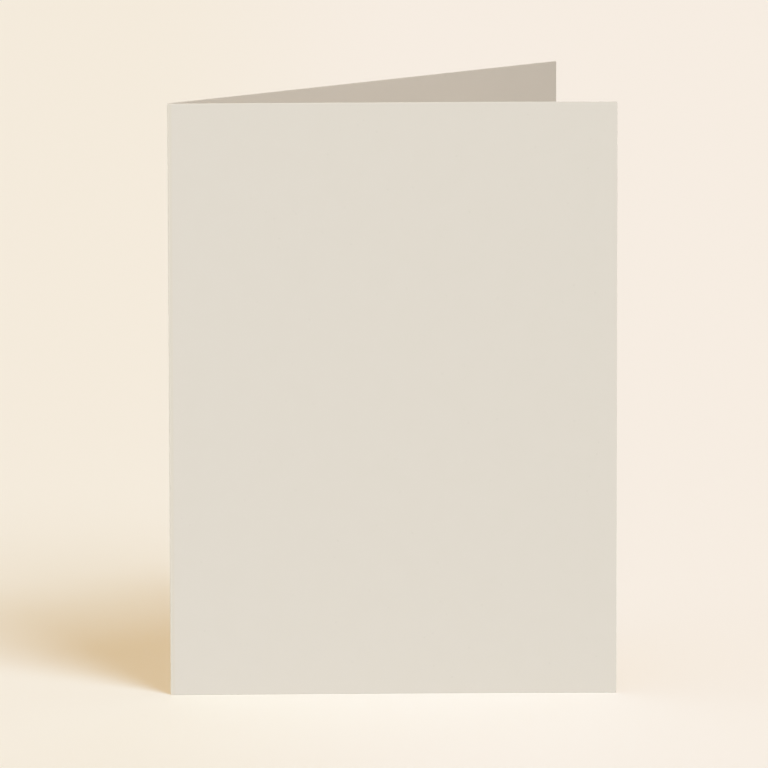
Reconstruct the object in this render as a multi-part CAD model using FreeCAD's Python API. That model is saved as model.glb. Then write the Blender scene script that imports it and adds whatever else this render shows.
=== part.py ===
"""A blank greeting card: one scored sheet of card stock, folded once and stood open on its lower edges.

Lengths are in millimetres. +Z is up, the front panel faces -Y and the fold is at the -X side.
The origin is the centre of the footprint, on the surface that the card stands on.
The plan section of the folded sheet is drawn once and extruded up through the sheet's height.
"""

import FreeCAD
import Part

import os
from math import asin, atan, cos, pi, radians, sin

# The sheet, measured with the card closed.
PANEL_WIDTH = 117.5  # from the outside of the fold to a free edge
PANEL_HEIGHT = 158.75
STOCK_THICKNESS = 0.35

# The fold.
FOLD_INNER_RADIUS = 0.25
SCORE_BEAD_RADIUS = 0.15  # the round ridge that the creasing rule raises inside the fold

# The way the card stands.
OPENING_ANGLE = 28.5  # degrees between the panels
FRONT_PANEL_BOW = 0.4  # how far the middle of the front panel lies inward of its upright edges

# Angles and places in plan that follow from these sizes. Angles are in radians from +X.
OPENING = radians(OPENING_ANGLE)
FOLD_OUTER_RADIUS = FOLD_INNER_RADIUS + STOCK_THICKNESS
PANEL_RUN = PANEL_WIDTH - FOLD_OUTER_RADIUS  # from the fold's axis to a free edge
CARD_DEPTH = PANEL_RUN * sin(OPENING) + FOLD_OUTER_RADIUS * (1 + cos(OPENING))
FOLD_AXIS = FreeCAD.Vector(FOLD_OUTER_RADIUS - PANEL_WIDTH / 2, FOLD_OUTER_RADIUS - CARD_DEPTH / 2, 0)

# The bowed front panel leaves the fold without a kink, so the bend turns a little further.
BOW_SLOPE = 2 * atan(2 * FRONT_PANEL_BOW / PANEL_RUN)
BOW_RADIUS = (PANEL_RUN - FOLD_OUTER_RADIUS * sin(BOW_SLOPE)) / (2 * sin(BOW_SLOPE))
BEND_BACK_END = pi / 2 + OPENING
BEND_FRONT_END = 3 * pi / 2 + BOW_SLOPE
BEND_MIDDLE = (BEND_BACK_END + BEND_FRONT_END) / 2


def polar(centre, radius, angle):
    """The point at that distance from centre, in the direction of angle."""
    return centre + FreeCAD.Vector(cos(angle), sin(angle), 0) * radius


def arc(centre, radius, start_angle, end_angle):
    """An arc about centre, from one angle to the other."""
    angles = (start_angle, (start_angle + end_angle) / 2, end_angle)
    return Part.Arc(*[polar(centre, radius, angle) for angle in angles]).toShape()


def line(start, end):
    """A straight edge between two points."""
    return Part.LineSegment(start, end).toShape()


def front_panel_edges():
    """The outer face, free edge and inner face of the bowed front panel, in that order."""
    bow_centre = polar(FOLD_AXIS, FOLD_OUTER_RADIUS + BOW_RADIUS, BEND_FRONT_END)
    inner_radius = BOW_RADIUS + STOCK_THICKNESS
    fold_end = pi / 2 + BOW_SLOPE
    free_end = pi / 2 - BOW_SLOPE
    return [
        arc(bow_centre, BOW_RADIUS, fold_end, free_end),
        line(polar(bow_centre, BOW_RADIUS, free_end), polar(bow_centre, inner_radius, free_end)),
        arc(bow_centre, inner_radius, free_end, fold_end),
    ]


def inner_bend_edges():
    """The inside of the fold from the front panel to the back one, with the score bead half way round."""
    bead_half_turn = 2 * asin(SCORE_BEAD_RADIUS / (2 * FOLD_INNER_RADIUS))
    bead_front = BEND_MIDDLE + bead_half_turn
    bead_back = BEND_MIDDLE - bead_half_turn
    bead = Part.Arc(
        polar(FOLD_AXIS, FOLD_INNER_RADIUS, bead_front),
        polar(FOLD_AXIS, FOLD_INNER_RADIUS - SCORE_BEAD_RADIUS, BEND_MIDDLE),
        polar(FOLD_AXIS, FOLD_INNER_RADIUS, bead_back),
    )
    return [
        arc(FOLD_AXIS, FOLD_INNER_RADIUS, BEND_FRONT_END, bead_front),
        bead.toShape(),
        arc(FOLD_AXIS, FOLD_INNER_RADIUS, bead_back, BEND_BACK_END),
    ]


def back_panel_edges():
    """The inner face, free edge and outer face of the flat back panel, in that order."""
    along = FreeCAD.Vector(cos(OPENING), sin(OPENING), 0) * PANEL_RUN
    inner_start = polar(FOLD_AXIS, FOLD_INNER_RADIUS, BEND_BACK_END)
    outer_start = polar(FOLD_AXIS, FOLD_OUTER_RADIUS, BEND_BACK_END)
    return [
        line(inner_start, inner_start + along),
        line(inner_start + along, outer_start + along),
        line(outer_start + along, outer_start),
    ]


def folded_card():
    """The whole card, as one solid."""
    outer_bend = arc(FOLD_AXIS, FOLD_OUTER_RADIUS, BEND_BACK_END, BEND_FRONT_END)
    outline = [outer_bend, *front_panel_edges(), *inner_bend_edges(), *back_panel_edges()]
    section = Part.Face(Part.Wire(outline))
    return section.extrude(FreeCAD.Vector(0, 0, PANEL_HEIGHT))


os.makedirs("parts", exist_ok=True)
folded_card().exportStep("parts/folded_card.step")
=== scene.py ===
"""A blank greeting card, folded once and stood open on a seamless cream sweep.

The card is one sheet of card stock. Its flat blank is laid out as a grid with softened corners and cut
edges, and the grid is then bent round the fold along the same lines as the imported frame.
Lengths in the classes of the card are in millimetres, and everything that goes to Blender is in metres.
"""

import logging
from dataclasses import dataclass, field
from enum import Enum
from math import asin, atan, cos, degrees, pi, radians, sin
from typing import Any

import bpy
from mathutils import Matrix, Vector


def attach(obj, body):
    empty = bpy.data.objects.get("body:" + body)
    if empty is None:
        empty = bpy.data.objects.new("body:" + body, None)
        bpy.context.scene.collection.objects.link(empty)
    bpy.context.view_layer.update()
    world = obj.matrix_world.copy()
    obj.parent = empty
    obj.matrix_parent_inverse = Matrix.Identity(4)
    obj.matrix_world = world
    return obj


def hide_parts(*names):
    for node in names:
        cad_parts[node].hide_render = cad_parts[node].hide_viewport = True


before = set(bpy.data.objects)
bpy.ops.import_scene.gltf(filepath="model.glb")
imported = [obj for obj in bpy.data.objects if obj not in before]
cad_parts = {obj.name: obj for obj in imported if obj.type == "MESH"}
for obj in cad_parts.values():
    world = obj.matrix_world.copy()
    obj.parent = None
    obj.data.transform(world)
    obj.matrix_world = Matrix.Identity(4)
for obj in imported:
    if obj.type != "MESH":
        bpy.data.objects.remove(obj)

LOG = logging.getLogger("greeting_card")
MM = 0.001
NODE = "folded_card"
Colour = tuple[float, float, float, float]

# A Mix node's sockets by number, because each kind of value has its own ones with the same names.
FACTOR = 0
NUMBER_A, NUMBER_B = 2, 3
COLOUR_A, COLOUR_B = 6, 7
COLOUR_OUT = 2


class Finish(Enum):
    """The two surfaces that the sheet shows, by the number of their material slot."""

    FACE = 0
    CUT_EDGE = 1


def linear(code: str) -> Colour:
    """Turns an sRGB hex colour into the linear colour that a shader's socket takes.

    Args:
        code: The colour, such as #E2DBD0.

    Returns:
        Red, green and blue in linear light, with an alpha of 1.
    """
    shares = [int(code[i : i + 2], 16) / 255 for i in (1, 3, 5)]
    red, green, blue = (s / 12.92 if s <= 0.04045 else ((s + 0.055) / 1.055) ** 2.4 for s in shares)
    return red, green, blue, 1.0


def add_node(
    tree: bpy.types.NodeTree, kind: str, settings: dict[str, Any], links: dict[str | int, Any]
) -> Any:
    """Adds a node to a tree, with its settings and what its inputs take.

    Args:
        tree: The material's or the world's node tree.
        kind: The node's type, such as ShaderNodeBump.
        settings: The node's own properties by name.
        links: Its inputs by name, or by number where names repeat. Each takes a plain value or an output.

    Returns:
        The new node.
    """
    node = tree.nodes.new(kind)
    for name, value in settings.items():
        setattr(node, name, value)
    for key, value in links.items():
        if isinstance(value, bpy.types.NodeSocket):
            tree.links.new(value, node.inputs[key])
        else:
            node.inputs[key].default_value = value
    return node


def new_material(name: str) -> bpy.types.Material:
    """Makes an empty node material.

    Args:
        name: What the real material is.

    Returns:
        The material, with no nodes yet.
    """
    material = bpy.data.materials.new(name)
    material.use_nodes = True
    material.node_tree.nodes.clear()
    return material


def direct_sight(tree: bpy.types.NodeTree) -> bpy.types.NodeSocket:
    """Finds the rays that show the background as it is: the camera's, and those off gloss or through glass.

    Args:
        tree: The node tree of the floor or of the world.

    Returns:
        The output that is 1 for those rays and 0 for the rest.
    """
    path = add_node(tree, "ShaderNodeLightPath", {}, {})
    seen = path.outputs["Is Camera Ray"]
    for kind in ("Is Glossy Ray", "Is Transmission Ray"):
        either = add_node(tree, "ShaderNodeMath", {"operation": "MAXIMUM"}, {0: seen, 1: path.outputs[kind]})
        seen = either.outputs[0]
    return seen


@dataclass(frozen=True)
class UncoatedCoverStock:
    """Uncoated vellum-finish cover stock, 300 g/m2, dyed through in a warm light grey.

    The wire of the paper machine and light calendering leave a fine tooth and no gloss, so the eye gets
    one even matte tone, a faint cloudiness where the fibres lie closer, and a few specks under the surface.
    Round the fold the sheet is painted a shade darker and warmer: painted shade along the fold.
    """

    name: str = "uncoated_vellum_cover_stock"
    colour: str = "#E2DBD0"
    cloud_colour: str = "#E0D9CD"
    fleck_colour: str = "#D9D2C6"
    # painted shade: the sheet's tone round the fold, darker and warmer
    fold_shade_colour: str = "#E1D9CB"
    roughness: float = 0.88
    ior: float = 1.5  # cellulose
    specular: float = 0.35  # open fibres send back less than a smooth surface
    cloud_mm: float = 7.0
    cloud_detail: float = 3.0  # the octaves of noise, here and below
    cloud_range: tuple[float, float] = (0.35, 0.7)  # the noise levels where a cloud begins and is full
    cloud_share: float = 0.25
    tooth_mm: float = 0.55  # real tooth is about 0.2 mm; drawn as coarse as it needs to show
    tooth_detail: float = 4.0
    tooth_harshness: float = 0.6  # how strong each octave is against the coarser one before it
    tooth_depth_mm: float = 0.012
    fibre_mm: tuple[float, float] = (0.3, 1.6)  # width and length, the length along the grain
    fibre_detail: float = 2.0
    fibre_share: float = 0.4  # how much of the tooth is fibres
    fleck_spacing_mm: float = 4.3
    fleck_radius_mm: float = 0.42
    fleck_share: float = 0.5
    fold_shade_mm: tuple[float, float] = (0.55, 1.0)  # from the fold's axis, where the painted shade round the fold fades and is gone

    def make(self, fold_axis: Vector) -> bpy.types.Material:
        """Builds the material.

        Args:
            fold_axis: A point on the fold's axis, in metres.

        Returns:
            The material of the sheet's two faces.
        """
        material = new_material(self.name)
        tree = material.node_tree
        place = add_node(tree, "ShaderNodeTexCoord", {}, {}).outputs["Object"]
        layers = (
            (self.clouds(tree, place), self.cloud_colour),
            (self.flecks(tree, place), self.fleck_colour),
            # the last layer is painted shade round the fold
            (self.fold_shade(tree, place, fold_axis), self.fold_shade_colour),
        )
        tone = linear(self.colour)
        for share, colour in layers:
            inputs = {FACTOR: share, COLOUR_A: tone, COLOUR_B: linear(colour)}
            tone = add_node(tree, "ShaderNodeMix", {"data_type": "RGBA"}, inputs).outputs[COLOUR_OUT]
        shader = add_node(
            tree,
            "ShaderNodeBsdfPrincipled",
            {},
            {
                "Base Color": tone,
                "Roughness": self.roughness,
                "IOR": self.ior,
                "Specular IOR Level": self.specular,
                "Normal": self.tooth(tree, place),
            },
        )
        add_node(tree, "ShaderNodeOutputMaterial", {}, {"Surface": shader.outputs[0]})
        return material

    def clouds(self, tree: bpy.types.NodeTree, place: bpy.types.NodeSocket) -> bpy.types.NodeSocket:
        """Spreads the soft patches where the fibres lie closer.

        Args:
            tree: The material's node tree.
            place: The output that gives the place on the sheet.

        Returns:
            The output that is up to cloud_share in a patch and 0 between them.
        """
        inputs = {"Vector": place, "Scale": 1 / (self.cloud_mm * MM), "Detail": self.cloud_detail}
        noise = add_node(tree, "ShaderNodeTexNoise", {}, inputs)
        begins, full = self.cloud_range
        patch = add_node(
            tree,
            "ShaderNodeMapRange",
            {"interpolation_type": "SMOOTHSTEP"},
            {"Value": noise.outputs["Fac"], "From Min": begins, "From Max": full, "To Max": self.cloud_share},
        )
        return patch.outputs[0]

    def flecks(self, tree: bpy.types.NodeTree, place: bpy.types.NodeSocket) -> bpy.types.NodeSocket:
        """Scatters small darker specks that lie just under the surface.

        Args:
            tree: The material's node tree.
            place: The output that gives the place on the sheet.

        Returns:
            The output that is up to fleck_share in a speck and 0 between them.
        """
        cells = add_node(
            tree, "ShaderNodeTexVoronoi", {}, {"Vector": place, "Scale": 1 / (self.fleck_spacing_mm * MM)}
        )
        core = add_node(
            tree,
            "ShaderNodeMapRange",
            {"interpolation_type": "SMOOTHSTEP"},
            {
                "Value": cells.outputs["Distance"],
                "From Min": self.fleck_radius_mm / self.fleck_spacing_mm,
                "From Max": 0.0,
                "To Max": self.fleck_share,
            },
        )
        return core.outputs[0]

    def fold_shade(
        self, tree: bpy.types.NodeTree, place: bpy.types.NodeSocket, fold_axis: Vector
    ) -> bpy.types.NodeSocket:
        """Finds where the painted shade round the fold lies.

        Args:
            tree: The material's node tree.
            place: The output that gives the place on the sheet.
            fold_axis: A point on the fold's axis, in metres.

        Returns:
            The output that is 1 round the fold and 0 on the flat panels.
        """
        flat = {0: place, 1: (1.0, 1.0, 0.0)}
        in_plan = add_node(tree, "ShaderNodeVectorMath", {"operation": "MULTIPLY"}, flat)
        ends = {0: in_plan.outputs[0], 1: fold_axis}
        reach = add_node(tree, "ShaderNodeVectorMath", {"operation": "DISTANCE"}, ends)
        near, far = self.fold_shade_mm
        band = add_node(
            tree,
            "ShaderNodeMapRange",
            {"interpolation_type": "SMOOTHSTEP"},
            {"Value": reach.outputs["Value"], "From Min": far * MM, "From Max": near * MM},
        )
        return band.outputs[0]

    def tooth(self, tree: bpy.types.NodeTree, place: bpy.types.NodeSocket) -> bpy.types.NodeSocket:
        """Raises the surface's fine tooth, with fibres that lie along the grain, up the card.

        Args:
            tree: The material's node tree.
            place: The output that gives the place on the sheet.

        Returns:
            The output that gives the normal.
        """
        grain = add_node(
            tree,
            "ShaderNodeVectorMath",
            {"operation": "MULTIPLY"},
            {0: place, 1: (1.0, 1.0, self.fibre_mm[0] / self.fibre_mm[1])},
        )
        fibres = add_node(
            tree,
            "ShaderNodeTexNoise",
            {},
            {
                "Vector": grain.outputs[0],
                "Scale": 1 / (self.fibre_mm[0] * MM),
                "Detail": self.fibre_detail,
            },
        )
        tooth = add_node(
            tree,
            "ShaderNodeTexNoise",
            {},
            {
                "Vector": place,
                "Scale": 1 / (self.tooth_mm * MM),
                "Detail": self.tooth_detail,
                "Roughness": self.tooth_harshness,
            },
        )
        height = add_node(
            tree,
            "ShaderNodeMix",
            {"data_type": "FLOAT"},
            {FACTOR: self.fibre_share, NUMBER_A: tooth.outputs["Fac"], NUMBER_B: fibres.outputs["Fac"]},
        )
        bump = add_node(
            tree,
            "ShaderNodeBump",
            {},
            {"Strength": 1.0, "Distance": self.tooth_depth_mm * MM, "Height": height.outputs[0]},
        )
        return bump.outputs[0]


@dataclass(frozen=True)
class GuillotinedEdge:
    """The sheet's core where the guillotine cut it: uncalendered fibre, a little lighter and rougher."""

    name: str = "guillotined_card_edge"
    colour: str = "#E6E0D6"
    shade_colour: str = "#DAD2C5"
    roughness: float = 0.95
    ior: float = 1.5  # cellulose
    specular: float = 0.25
    fibre_mm: float = 0.12  # the cut ends of the fibres
    fibre_detail: float = 3.0
    depth_mm: float = 0.015

    def make(self) -> bpy.types.Material:
        """Builds the material.

        Returns:
            The material of the sheet's cut edges.
        """
        material = new_material(self.name)
        tree = material.node_tree
        place = add_node(tree, "ShaderNodeTexCoord", {}, {}).outputs["Object"]
        inputs = {"Vector": place, "Scale": 1 / (self.fibre_mm * MM), "Detail": self.fibre_detail}
        fibres = add_node(tree, "ShaderNodeTexNoise", {}, inputs)
        tone = add_node(
            tree,
            "ShaderNodeMix",
            {"data_type": "RGBA"},
            {
                FACTOR: fibres.outputs["Fac"],
                COLOUR_A: linear(self.shade_colour),
                COLOUR_B: linear(self.colour),
            },
        )
        bump = add_node(
            tree,
            "ShaderNodeBump",
            {},
            {"Strength": 1.0, "Distance": self.depth_mm * MM, "Height": fibres.outputs["Fac"]},
        )
        shader = add_node(
            tree,
            "ShaderNodeBsdfPrincipled",
            {},
            {
                "Base Color": tone.outputs[COLOUR_OUT],
                "Roughness": self.roughness,
                "IOR": self.ior,
                "Specular IOR Level": self.specular,
                "Normal": bump.outputs[0],
            },
        )
        add_node(tree, "ShaderNodeOutputMaterial", {}, {"Surface": shader.outputs[0]})
        return material


@dataclass(frozen=True)
class FoldedSection:
    """The folded sheet in plan, in millimetres. Angles in radians run from +X towards +Y."""

    panel_width: float = 117.5
    thickness: float = 0.35
    inner_radius: float = 0.25
    bead_radius: float = 0.15  # the ridge that the creasing rule raises inside the fold
    opening: float = radians(28.5)
    bow: float = 0.4  # how far the middle of the front panel lies inward of its upright edges

    @property
    def outer_radius(self) -> float:
        """The radius of the outside of the fold."""
        return self.inner_radius + self.thickness

    @property
    def run(self) -> float:
        """The length from the fold's axis to a free edge."""
        return self.panel_width - self.outer_radius

    @property
    def axis(self) -> Vector:
        """The fold's axis in plan."""
        depth = self.run * sin(self.opening) + self.outer_radius * (1 + cos(self.opening))
        return Vector((self.outer_radius - self.panel_width / 2, self.outer_radius - depth / 2))

    @property
    def bow_slope(self) -> float:
        """The angle between the bowed front panel and its chord, at either end."""
        return 2 * atan(2 * self.bow / self.run)

    @property
    def bow_radius(self) -> float:
        """The radius of the front panel's outer face."""
        return (self.run - self.outer_radius * sin(self.bow_slope)) / (2 * sin(self.bow_slope))

    @property
    def front_length(self) -> float:
        """The front panel's length along the middle of the stock."""
        return 2 * self.bow_slope * (self.bow_radius + self.thickness / 2)

    @property
    def bend_front_end(self) -> float:
        """The direction, from the fold's axis, in which the bend meets the front panel."""
        return 1.5 * pi + self.bow_slope

    @property
    def bend_turn(self) -> float:
        """The angle that the sheet turns through at the fold."""
        return pi + self.bow_slope - self.opening

    @property
    def bend_length(self) -> float:
        """The bend's length along the middle of the stock."""
        return self.bend_turn * (self.inner_radius + self.thickness / 2)

    @property
    def length(self) -> float:
        """The length of the flat blank."""
        return self.front_length + self.bend_length + self.run

    @staticmethod
    def direction(angle: float) -> Vector:
        """The unit vector in plan at that angle."""
        return Vector((cos(angle), sin(angle)))

    def pair(self, along: float) -> tuple[Vector, Vector]:
        """Finds where a line across the stock ends up when the blank is folded.

        Args:
            along: The distance from the front panel's free edge, along the flat blank.

        Returns:
            The points on the inner and the outer face, in plan.
        """
        if along <= self.front_length:
            return self.front_pair(along / self.front_length)
        if along <= self.front_length + self.bend_length:
            return self.bend_pair((along - self.front_length) / self.bend_length)
        return self.back_pair(along - self.front_length - self.bend_length)

    def front_pair(self, share: float) -> tuple[Vector, Vector]:
        """Finds a pair on the bowed front panel.

        Args:
            share: The share of the panel that is passed, from 0 at its free edge to 1 at the fold.

        Returns:
            The points on the inner and the outer face, in plan.
        """
        centre = self.axis + self.direction(self.bend_front_end) * (self.outer_radius + self.bow_radius)
        ray = self.direction(pi / 2 - self.bow_slope + 2 * self.bow_slope * share)
        return centre + ray * (self.bow_radius + self.thickness), centre + ray * self.bow_radius

    def bend_pair(self, share: float) -> tuple[Vector, Vector]:
        """Finds a pair in the bend, whose inner face carries the bead.

        Args:
            share: The share of the bend that is passed, from 0 at the front panel to 1 at the back one.

        Returns:
            The points on the inner and the outer face, in plan.
        """
        middle = self.bend_front_end - self.bend_turn / 2
        angle = self.bend_front_end - self.bend_turn * share
        outer = self.axis + self.direction(angle) * self.outer_radius
        half_bead = 2 * asin(self.bead_radius / (2 * self.inner_radius))
        if abs(angle - middle) >= half_bead:
            return self.axis + self.direction(angle) * self.inner_radius, outer
        bead_centre = self.axis + self.direction(middle) * self.inner_radius
        round_bead = middle + pi - (angle - middle) / half_bead * (pi - half_bead) / 2
        return bead_centre + self.direction(round_bead) * self.bead_radius, outer

    def back_pair(self, along: float) -> tuple[Vector, Vector]:
        """Finds a pair on the flat back panel.

        Args:
            along: The distance from the fold.

        Returns:
            The points on the inner and the outer face, in plan.
        """
        normal = self.direction(pi / 2 + self.opening)
        start = self.axis + self.direction(self.opening) * along
        return start + normal * self.inner_radius, start + normal * self.outer_radius


@dataclass
class QuadMesh:
    """Points and four-sided faces in the making."""

    points: list[Vector] = field(default_factory=list)
    quads: list[tuple[int, int, int, int]] = field(default_factory=list)
    finishes: list[int] = field(default_factory=list)

    def point(self, place: Vector) -> int:
        """Adds a point and gives its number."""
        self.points.append(place)
        return len(self.points) - 1

    def strip(self, first: list[int], second: list[int], finish: Finish) -> None:
        """Joins two rows of points with faces.

        Args:
            first: The numbers of the points in one row.
            second: The numbers of as many points in the next row.
            finish: The finish of the faces.
        """
        for k in range(len(first) - 1):
            self.quads.append((first[k], first[k + 1], second[k + 1], second[k]))
            self.finishes.append(finish.value)

    def to_object(self, name: str) -> bpy.types.Object:
        """Puts the points and faces into the scene.

        Args:
            name: The name of the object and its mesh.

        Returns:
            The smooth-shaded object.
        """
        mesh = bpy.data.meshes.new(name)
        mesh.from_pydata(self.points, [], self.quads)
        mesh.polygons.foreach_set("material_index", self.finishes)
        mesh.polygons.foreach_set("use_smooth", [True] * len(self.quads))
        mesh.update()
        made = bpy.data.objects.new(name, mesh)
        bpy.context.scene.collection.objects.link(made)
        return made


@dataclass
class FoldedCard:
    """The card: one folded sheet with softened corners and cut edges. Sizes are in millimetres."""

    section: FoldedSection = field(default_factory=FoldedSection)
    height: float = 158.75
    corner_radius: float = 0.3  # the corners of the sheet
    edge_radius: float = 0.05  # the two rims of the cut
    corner_steps: int = 3  # from a corner patch's inner line to the cut
    panel_step: float = 2.6  # between the lines of the grid on the panels
    fold_side: float = 3.0  # the strip beside the bend whose columns stand closer
    fold_side_step: float = 0.5
    bend_steps: int = 22
    columns: list[float] = field(init=False)
    rows: list[float] = field(init=False)

    def __post_init__(self) -> None:
        """Rules the grid of the flat blank, between its corner patches."""
        self.columns = self.rule_columns()
        self.rows = self.spread(self.corner_radius, self.height - self.corner_radius, self.panel_step)

    @staticmethod
    def spread(low: float, high: float, step: float) -> list[float]:
        """Even places from low to high, both included, about one step apart."""
        count = max(1, round((high - low) / step))
        return [low + (high - low) * i / count for i in range(count + 1)]

    def rule_columns(self) -> list[float]:
        """Rules the columns of the blank, closer together at the fold.

        Returns:
            The places along the blank, from the front panel's corner patches to the back panel's.
        """
        bend_start = self.section.front_length
        bend_end = bend_start + self.section.bend_length
        front_middle = bend_start - self.fold_side
        back_middle = bend_end + self.fold_side
        front = self.spread(self.corner_radius, front_middle, self.panel_step)
        front += self.spread(front_middle, bend_start, self.fold_side_step)[1:]
        bend = self.spread(bend_start, bend_end, self.section.bend_length / self.bend_steps)[1:-1]
        back = self.spread(bend_end, back_middle, self.fold_side_step)
        back += self.spread(back_middle, self.section.length - self.corner_radius, self.panel_step)[1:]
        return front + bend + back

    def blank_place(self, i: int, j: int, inset: float) -> tuple[float, float]:
        """Finds a grid point's place on the flat blank.

        Args:
            i: The column.
            j: The row.
            inset: How far the outline lies inside the cut size.

        Returns:
            The places along and up the blank.
        """
        along, side = self.patch_place(i, self.columns, self.section.length)
        up, end = self.patch_place(j, self.rows, self.height)
        radius = self.corner_radius - inset
        # A square patch becomes a quarter disc: each way is pulled in by the share of the other.
        pull_along, pull_up = (1 - end * end / 2) ** 0.5, (1 - side * side / 2) ** 0.5
        return along + radius * side * pull_along, up + radius * end * pull_up

    def patch_place(self, index: int, places: list[float], size: float) -> tuple[float, float]:
        """Splits a grid number into its place and its share of the corner patch.

        Args:
            index: The column or the row.
            places: The places between the corner patches.
            size: The blank's size that way.

        Returns:
            The nearest place between the patches, and how far into the patch the point is, from -1 to 1.
        """
        steps = self.corner_steps
        if index < steps:
            return self.corner_radius, (index - steps) / steps
        if index >= steps + len(places):
            return size - self.corner_radius, (index - steps - len(places) + 1) / steps
        return places[index - steps], 0.0

    def bent(self, along: float, up: float, depth: float) -> Vector:
        """Folds one point of the blank.

        Args:
            along: The place along the blank.
            up: The place up the blank.
            depth: How far through the stock, from 0 at the inner face to 1 at the outer one.

        Returns:
            The point in the row frame, in metres.
        """
        inner, outer = self.section.pair(along)
        plan = inner.lerp(outer, depth)
        return Vector((plan.x, plan.y, up)) * MM

    def lay(self, sheet: QuadMesh, places: list[tuple[int, int]], inset: float, below: float) -> list[int]:
        """Lays a row of grid points on the folded sheet.

        Args:
            sheet: The mesh that takes the points.
            places: The column and row of each point.
            inset: How far the outline lies inside the cut size.
            below: How far the points lie below the outer face.

        Returns:
            The numbers of the points.
        """
        depth = 1 - below / self.section.thickness
        return [sheet.point(self.bent(*self.blank_place(i, j, inset), depth)) for i, j in places]

    def outline(self, wide: int, high: int) -> list[tuple[int, int]]:
        """Goes once round the grid, and back to where it started.

        Args:
            wide: The number of columns.
            high: The number of rows.

        Returns:
            The column and row of each point on the blank's outline, with the first one again at the end.
        """
        right, top = wide - 1, high - 1
        way = [(i, 0) for i in range(right)] + [(right, j) for j in range(top)]
        way += [(i, top) for i in range(right, 0, -1)] + [(0, j) for j in range(top, -1, -1)]
        return way

    def build(self) -> bpy.types.Object:
        """Builds the sheet: its two faces, and the rounded rim that the guillotine cut.

        Returns:
            The card, with its faces and cut edges in two material slots.
        """
        wide = len(self.columns) + 2 * self.corner_steps
        high = len(self.rows) + 2 * self.corner_steps
        soft = self.edge_radius
        thick = self.section.thickness
        sheet = QuadMesh()

        outer = [self.lay(sheet, [(i, j) for j in range(high)], soft, 0.0) for i in range(wide)]
        inner = [self.lay(sheet, [(i, j) for j in range(high)], soft, thick) for i in range(wide)]
        for i in range(wide - 1):
            sheet.strip(outer[i], outer[i + 1], Finish.FACE)
            sheet.strip(inner[i + 1], inner[i], Finish.FACE)

        # Either rim is rounded in two steps, and nip is how far the line between them lies in from the cut.
        way = self.outline(wide, high)
        nip = soft * (1 - cos(pi / 4))
        rim = [[outer[i][j] for i, j in way]]
        for inset, below in ((nip, nip), (0.0, soft), (0.0, thick - soft), (nip, thick - nip)):
            loop = self.lay(sheet, way[:-1], inset, below)
            rim.append(loop + loop[:1])
        rim.append([inner[i][j] for i, j in way])
        for first, second in zip(rim, rim[1:]):
            sheet.strip(first, second, Finish.CUT_EDGE)
        return sheet.to_object("folded_sheet")

    def dress(self, card: bpy.types.Object) -> None:
        """Gives the sheet its finishes.

        Args:
            card: The sheet from build.
        """
        axis = self.section.axis * MM
        card.data.materials.append(UncoatedCoverStock().make(Vector((axis.x, axis.y, 0.0))))
        card.data.materials.append(GuillotinedEdge().make())


@dataclass(frozen=True)
class SeamlessPaperSweep:
    """Seamless background paper, matte and cream, as a floor that runs out of the picture.

    Where it is seen, it is at the studio's bright level: a warm glow that shade doesn't reach, and a cooler
    matte share that the card's shadow takes away, so the shadow is warm. Other rays meet toned-down paper,
    so that the light it throws back doesn't brighten the card's foot.
    """

    name: str = "seamless_background_paper"
    paper: str = "#766C5C"  # what other rays meet
    seen_glow: tuple[str, str] = ("#C0921E", "#C39645")  # at the left and the right of the card
    glow_places: tuple[float, float] = (-0.076, 0.028)  # where it turns, along X in metres
    fade_places: tuple[float, float] = (1.5, 5.0)  # the metres from the card where the left tone gives way
    seen_colour: str = "#ABCAE5"  # the matte share
    half_size: float = 9.0  # in metres

    def build(self) -> bpy.types.Object:
        """Lays the floor.

        Returns:
            The floor.
        """
        half = self.half_size
        corners = [(-half, -half, 0.0), (half, -half, 0.0), (half, half, 0.0), (-half, half, 0.0)]
        mesh = bpy.data.meshes.new("paper_sweep")
        mesh.from_pydata(corners, [], [(0, 1, 2, 3)])
        mesh.materials.append(self.make())
        sweep = bpy.data.objects.new("paper_sweep", mesh)
        bpy.context.scene.collection.objects.link(sweep)
        return sweep

    def make(self) -> bpy.types.Material:
        """Builds the material.

        Returns:
            The material of the floor.
        """
        material = new_material(self.name)
        tree = material.node_tree
        place = add_node(tree, "ShaderNodeNewGeometry", {}, {}).outputs["Position"]
        across = add_node(tree, "ShaderNodeSeparateXYZ", {}, {0: place}).outputs["X"]
        away = add_node(tree, "ShaderNodeVectorMath", {"operation": "LENGTH"}, {0: place}).outputs["Value"]
        share = 0.0
        for value, (start, end) in ((across, self.glow_places), (away, self.fade_places)):
            places = {"Value": value, "From Min": start, "From Max": end}
            ramp = add_node(tree, "ShaderNodeMapRange", {"interpolation_type": "SMOOTHSTEP"}, places)
            larger = {0: share, 1: ramp.outputs[0]}
            share = add_node(tree, "ShaderNodeMath", {"operation": "MAXIMUM"}, larger).outputs[0]
        left, right = (linear(code) for code in self.seen_glow)
        inputs = {FACTOR: share, COLOUR_A: left, COLOUR_B: right}
        tone = add_node(tree, "ShaderNodeMix", {"data_type": "RGBA"}, inputs).outputs[COLOUR_OUT]
        glow = add_node(tree, "ShaderNodeEmission", {}, {"Color": tone, "Strength": 1.0})
        matte = add_node(tree, "ShaderNodeBsdfDiffuse", {}, {"Color": linear(self.seen_colour)})
        bright = add_node(tree, "ShaderNodeAddShader", {}, {0: glow.outputs[0], 1: matte.outputs[0]})
        plain = add_node(tree, "ShaderNodeBsdfDiffuse", {}, {"Color": linear(self.paper)})
        ways = {0: direct_sight(tree), 1: plain.outputs[0], 2: bright.outputs[0]}
        mixed = add_node(tree, "ShaderNodeMixShader", {}, ways)
        add_node(tree, "ShaderNodeOutputMaterial", {}, {"Surface": mixed.outputs[0]})
        return material


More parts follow.
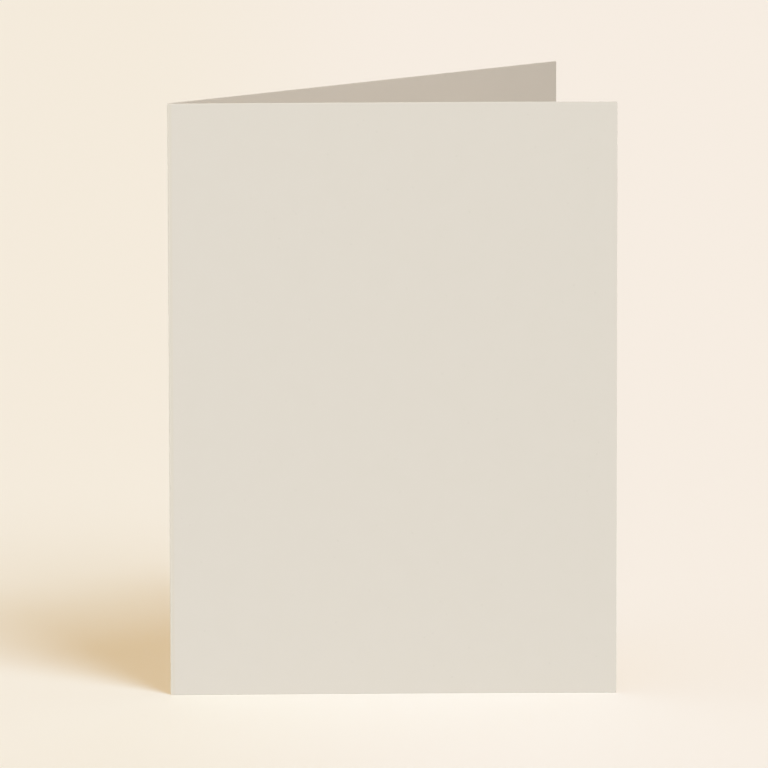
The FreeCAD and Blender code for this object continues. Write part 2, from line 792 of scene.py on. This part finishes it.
@dataclass(frozen=True)
class Softbox:
    """A far, round source of light. Its level is the brightness that it gives a white card facing it."""

    name: str
    towards: tuple[float, float]  # azimuth from +X and elevation of the source, in degrees
    level: float
    colour: str = "#FFFFFF"
    width: float = 0.0  # how wide the source looks from the card, in degrees

    def build(self) -> bpy.types.Object:
        """Adds the lamp.

        Returns:
            The lamp, turned so that its light comes from towards.
        """
        data = bpy.data.lights.new(self.name, "SUN")
        data.energy = self.level * pi
        data.color = linear(self.colour)[:3]
        data.angle = radians(self.width)
        lamp = bpy.data.objects.new(self.name, data)
        azimuth, elevation = (radians(a) for a in self.towards)
        source = Vector((cos(azimuth) * cos(elevation), sin(azimuth) * cos(elevation), sin(elevation)))
        lamp.rotation_mode = "QUATERNION"
        lamp.rotation_quaternion = (-source).to_track_quat("-Z", "Y")
        lamp.location = source
        bpy.context.scene.collection.objects.link(lamp)
        return lamp


@dataclass(frozen=True)
class Studio:
    """The light around the card.

    One tall softbox, taken as two round ones, stands in front of the card and to its right. Upright boards
    on all four sides light what stands upright and hardly reach the floor, and the one at the right is wide
    and looks into the open card. An even fill comes from all round.
    """

    fill: str = "#FFFFFF"
    fill_level: float = 0.36
    backdrop: str = "#F7EDE2"
    lamps: tuple[Softbox, ...] = (
        Softbox("key_softbox_top", (-48.0, 60.0), 0.398, "#FFFEF6", 24.0),
        Softbox("key_softbox_foot", (-50.0, 45.0), 0.298, "#FFF6F5", 26.0),
        Softbox("front_reflector", (-90.0, 0.0), 0.456, "#F2FAFF"),
        Softbox("back_reflector", (118.5, 0.0), 0.2),
        Softbox("left_reflector", (180.0, 0.0), 0.5),
        Softbox("right_reflector", (60.0, 0.0), 0.3, "#FFFFFF", 40.0),
    )

    def build(self) -> None:
        """Adds the lamps and the world."""
        for lamp in self.lamps:
            lamp.build()
        world = bpy.data.worlds.new("studio_fill")
        world.use_nodes = True
        tree = world.node_tree
        tree.nodes.clear()
        fill = add_node(
            tree, "ShaderNodeBackground", {}, {"Color": linear(self.fill), "Strength": self.fill_level}
        )
        seen = add_node(tree, "ShaderNodeBackground", {}, {"Color": linear(self.backdrop), "Strength": 1.0})
        ways = {0: direct_sight(tree), 1: fill.outputs[0], 2: seen.outputs[0]}
        mixed = add_node(tree, "ShaderNodeMixShader", {}, ways)
        add_node(tree, "ShaderNodeOutputWorld", {}, {"Surface": mixed.outputs[0]})
        bpy.context.scene.world = world


@dataclass(frozen=True)
class ProductCamera:
    """A long lens, a little above the card. Lengths are in metres and angles in degrees."""

    lens: float = 567.19  # in millimetres, as the sensor is
    sensor: float = 36.0
    azimuth: float = -0.90
    elevation: float = 12.40
    roll: float = -0.117
    distance: float = 3.1725
    target: tuple[float, float, float] = (-0.00235, -0.02845, 0.08366)
    clip: tuple[float, float] = (0.1, 30.0)  # the nearest and the farthest that it sees

    def build(self) -> bpy.types.Object:
        """Places the camera and makes it the scene's.

        Returns:
            The camera.
        """
        turn, rise, roll = (radians(a) for a in (self.azimuth, self.elevation, self.roll))
        back = Vector((sin(turn) * cos(rise), -cos(turn) * cos(rise), sin(rise)))
        level = (-back).cross(Vector((0.0, 0.0, 1.0))).normalized()
        upright = level.cross(-back)
        right = level * cos(roll) + upright * sin(roll)
        up = upright * cos(roll) - level * sin(roll)
        data = bpy.data.cameras.new("product_camera")
        data.lens = self.lens
        data.sensor_width = self.sensor
        data.clip_start, data.clip_end = self.clip
        camera = bpy.data.objects.new("product_camera", data)
        place = Matrix((right, up, back)).transposed().to_4x4()
        place.translation = Vector(self.target) + back * self.distance
        camera.matrix_world = place
        bpy.context.scene.collection.objects.link(camera)
        bpy.context.scene.camera = camera
        return camera


def main() -> None:
    """Builds the card, the floor, the light and the camera."""
    logging.basicConfig(level=logging.INFO, format="%(name)s: %(message)s")
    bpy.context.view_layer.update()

    folded = FoldedCard()
    card = folded.build()
    folded.dress(card)
    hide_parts(NODE)
    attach(card, "root")
    opening = degrees(folded.section.opening)
    LOG.info("%s: %d faces, opened %.1f degrees", card.name, len(card.data.polygons), opening)

    sweep = SeamlessPaperSweep().build()
    LOG.info("%s: the stage", sweep.name)
    Studio().build()
    ProductCamera().build()

    bpy.context.scene.view_settings.view_transform = "Standard"


if __name__ == "__main__":
    main()
